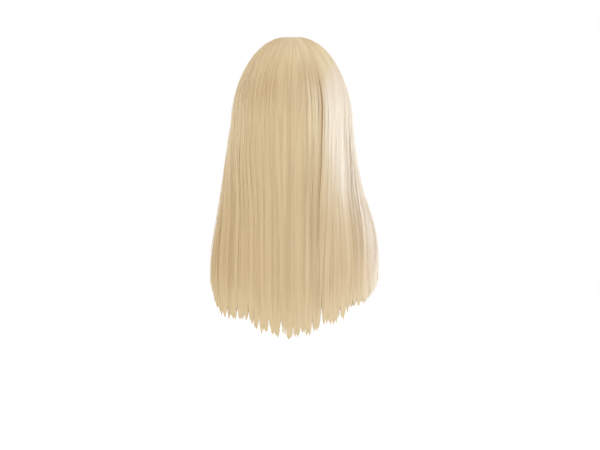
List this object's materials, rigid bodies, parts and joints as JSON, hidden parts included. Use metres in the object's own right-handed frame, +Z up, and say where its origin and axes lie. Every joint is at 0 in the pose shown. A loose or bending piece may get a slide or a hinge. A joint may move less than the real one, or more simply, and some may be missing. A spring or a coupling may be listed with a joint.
{
  "type": "long straight wig",
  "caption": "Long straight wig in the form it takes when worn: a net cap with an elastic rim, and hair that parts on top and falls behind the shoulders to a rounded hem",
  "frame": {"origin": "where the crown of the wearer's head bears, at the top of the cap's hollow", "axes": "+Z up; the face opening looks along -Y and the hair hangs at the back, +Y; +X is the wearer's left"},
  "size_m": [0.2626, 0.2133, 0.4731],
  "materials": {
    "hair_fibre": "straight synthetic hair fibre with a satin shine, pale blonde",
    "cap_net": "fine knitted net, matt, beige",
    "band_elastic": "ribbed woven elastic, matt, beige"
  },
  "bodies": {
    "root": {"cap": "cap_net", "rim_band": "band_elastic", "hair_front_right": "hair_fibre", "hair_side_right": "hair_fibre", "hair_back_centre": "hair_fibre", "hair_back_left": "hair_fibre", "hair_side_left": "hair_fibre", "hair_front_left": "hair_fibre"}
  },
  "joints": []
}
